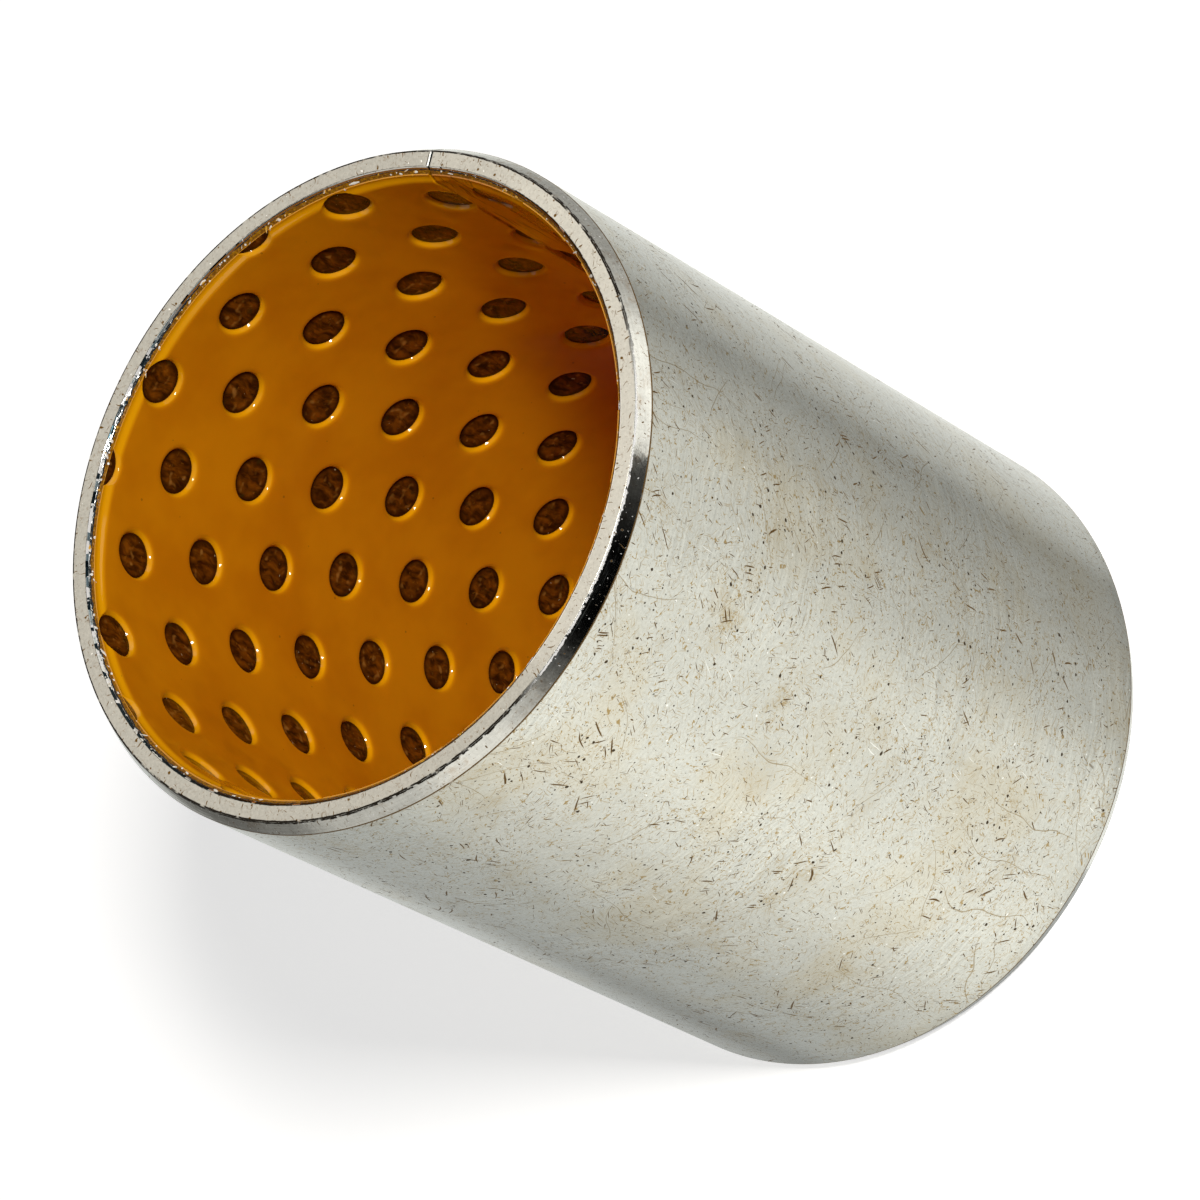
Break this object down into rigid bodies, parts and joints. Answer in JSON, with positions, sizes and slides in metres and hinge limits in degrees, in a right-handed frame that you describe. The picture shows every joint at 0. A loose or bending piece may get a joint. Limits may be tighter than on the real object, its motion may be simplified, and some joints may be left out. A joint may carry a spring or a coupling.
{
  "type": "lined wrapped plain bushing",
  "caption": "Plain wrapped bush: tin-plated steel backing, sintered bronze layer and a pocketed amber polymer lining, with a straight butt joint.",
  "frame": {"origin": "centre of the lower end face, on the axis", "axes": "+Z along the axis towards the upper end face, +X towards the butt joint"},
  "size_m": [0.039, 0.039, 0.05],
  "materials": {
    "plated_steel": "satin tin plating, fine scratches",
    "sintered_bronze": "grainy sintered, cut edge",
    "amber_acetal": "glossy amber polymer"
  },
  "bodies": {
    "root": {"steel_shell": "plated_steel", "bronze_layer": "sintered_bronze", "acetal_lining": "amber_acetal"}
  },
  "joints": []
}
